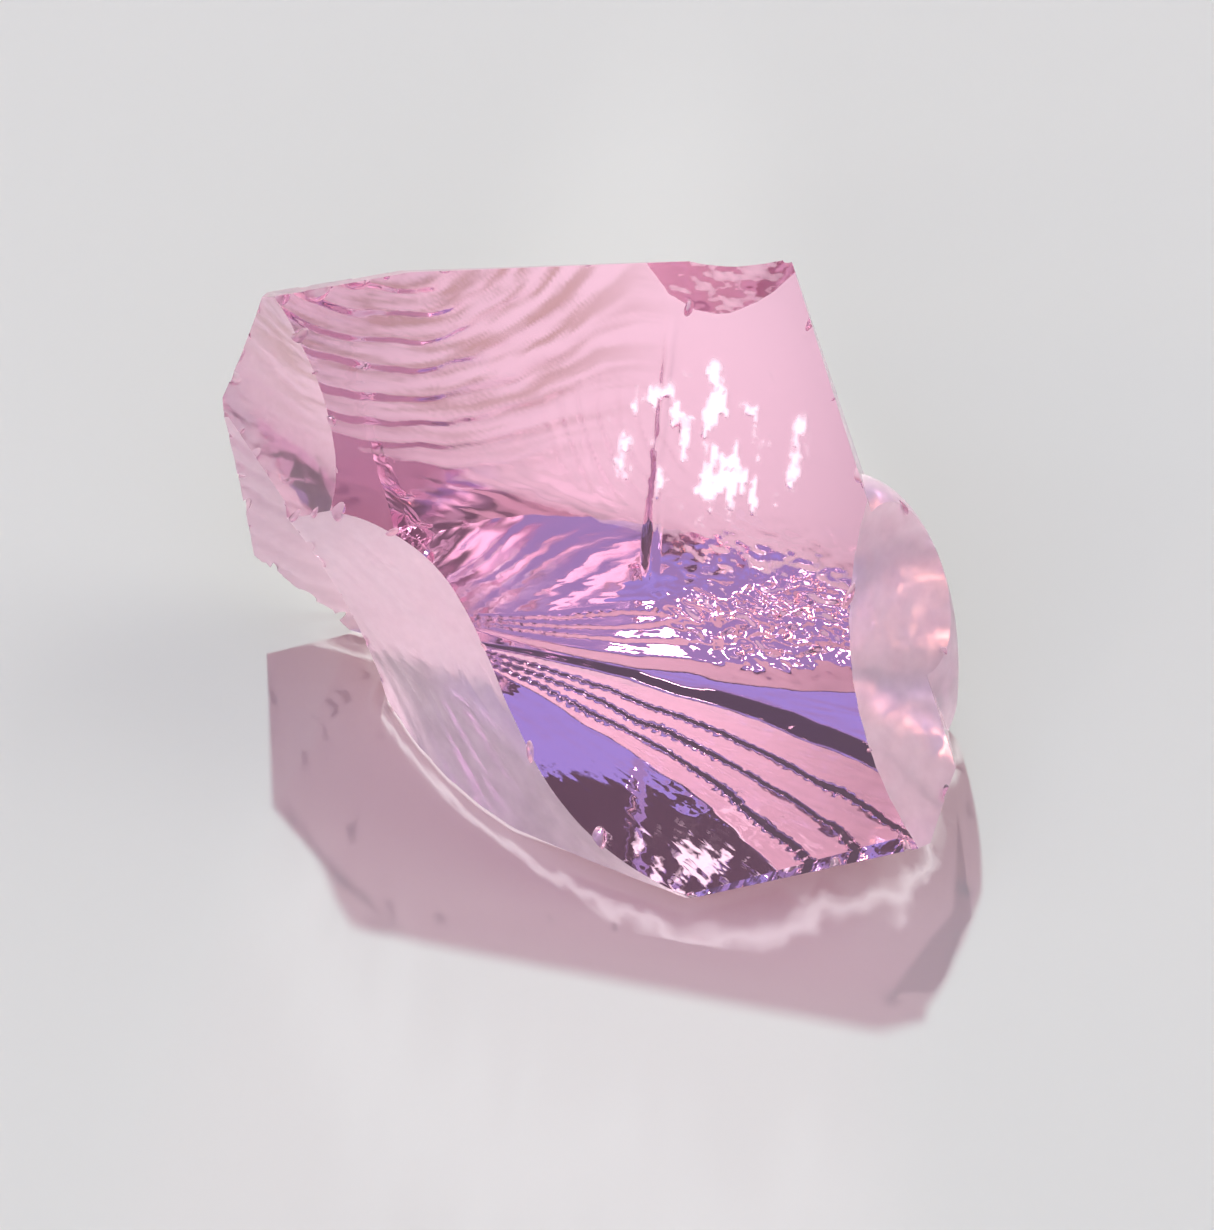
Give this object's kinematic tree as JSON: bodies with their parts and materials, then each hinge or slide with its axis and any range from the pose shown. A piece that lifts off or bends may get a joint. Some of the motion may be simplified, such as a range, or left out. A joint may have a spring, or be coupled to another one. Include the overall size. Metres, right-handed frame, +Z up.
{
  "type": "raw glass crystal",
  "caption": "Raw chunk of clear pink glass with a large sloping front face, a ribbed side wall and a back that leans out.",
  "frame": {"origin": "on the plane the chunk rests on, under the middle of its bounding box", "axes": "+X to the chunk's right seen from the front, -Y the side the large window faces, +Z up"},
  "size_m": [0.0508, 0.0322, 0.037],
  "materials": {
    "pink_glass": "clear pink glass with fresh, shiny fracture faces"
  },
  "bodies": {
    "root": {"crystal": "pink_glass"}
  },
  "joints": []
}
